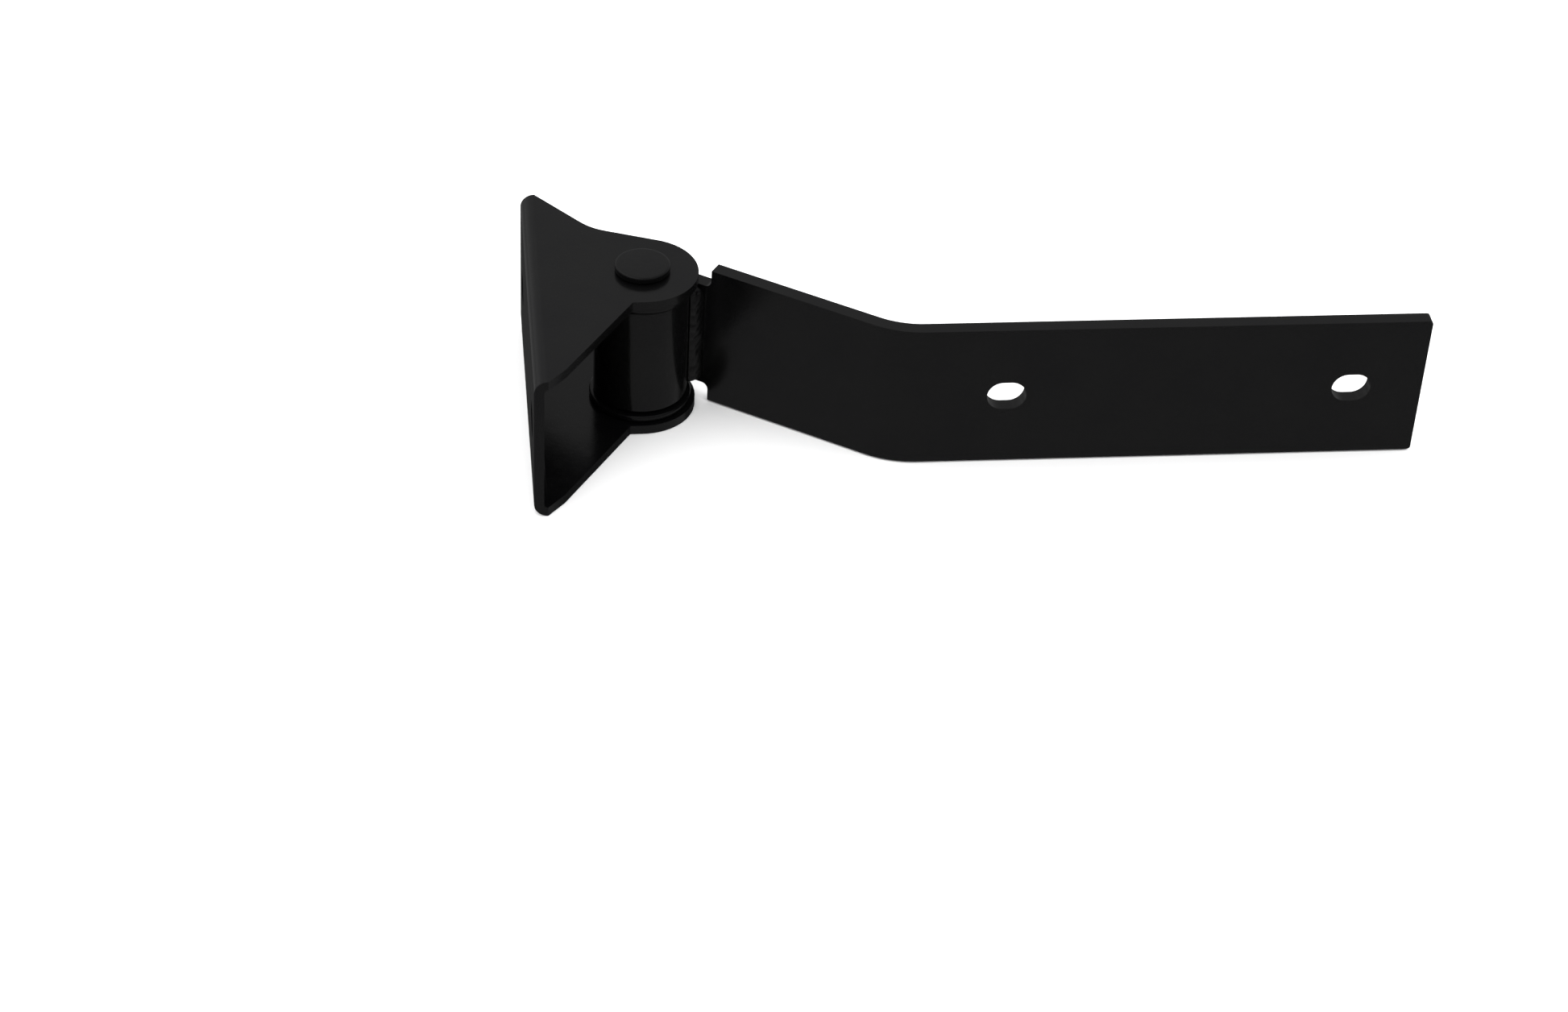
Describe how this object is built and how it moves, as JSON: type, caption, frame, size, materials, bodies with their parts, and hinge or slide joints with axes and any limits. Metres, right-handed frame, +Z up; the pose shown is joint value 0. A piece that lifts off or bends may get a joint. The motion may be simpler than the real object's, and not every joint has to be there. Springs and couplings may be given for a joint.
{
  "type": "t hinge",
  "caption": "Heavy gate T hinge: bent post bracket, riveted pin, thrust washers, and a cranked slotted strap welded to a knuckle barrel that swings on the pin.",
  "frame": {"origin": "middle of the bounding box's underside, on the surface that the hinge stands on", "axes": "+Z up along the hinge pin towards its head, +X along the strap's flat end away from the bracket, +Y away from the strap's mounting face"},
  "size_m": [0.2868, 0.1046, 0.0545],
  "materials": {
    "black_powder_coat": "gloss",
    "coated_pin": "gloss",
    "coated_washer": "gloss",
    "coated_weld": "gloss",
    "bearing_bronze": "satin"
  },
  "bodies": {
    "bracket_body": {"bracket": "black_powder_coat", "hinge_pin": "coated_pin", "upper_washer": "coated_washer", "lower_washer": "coated_washer"},
    "strap_body": {"knuckle_barrel": "black_powder_coat", "upper_bushing": "bearing_bronze", "lower_bushing": "bearing_bronze", "strap": "black_powder_coat", "near_weld_bead": "coated_weld", "far_weld_bead": "coated_weld"}
  },
  "joints": [
    {"name": "strap_swing", "type": "hinge", "parent": "bracket_body", "child": "strap_body", "pos_m": [-0.1063, 0.00725, 0], "axis": [0, 0, 1], "range_deg": [-90, 100]}
  ]
}
